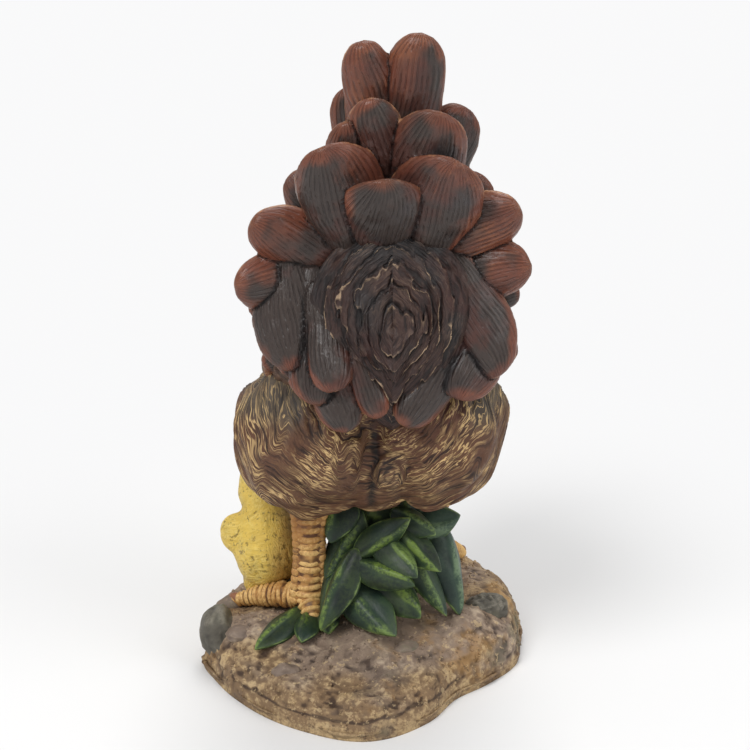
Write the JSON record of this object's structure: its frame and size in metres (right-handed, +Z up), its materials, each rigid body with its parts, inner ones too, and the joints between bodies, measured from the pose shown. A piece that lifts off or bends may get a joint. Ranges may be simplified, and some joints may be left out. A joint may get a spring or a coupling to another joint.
{
  "type": "hen figurine",
  "caption": "Painted cast resin ornament of a hen with a raised rosette tail, standing over a chick and a leafy plant on an earth mound",
  "frame": {"origin": "on the underside of the mound, under the middle of its footprint", "axes": "+Z up, the hen faces +Y, so its tail is towards -Y; +X is the hen's right side"},
  "size_m": [0.1139, 0.13, 0.217],
  "materials": {
    "painted_resin": "hand painted, matte to satin"
  },
  "bodies": {
    "root": {"hen_figurine": "painted_resin"}
  },
  "joints": []
}
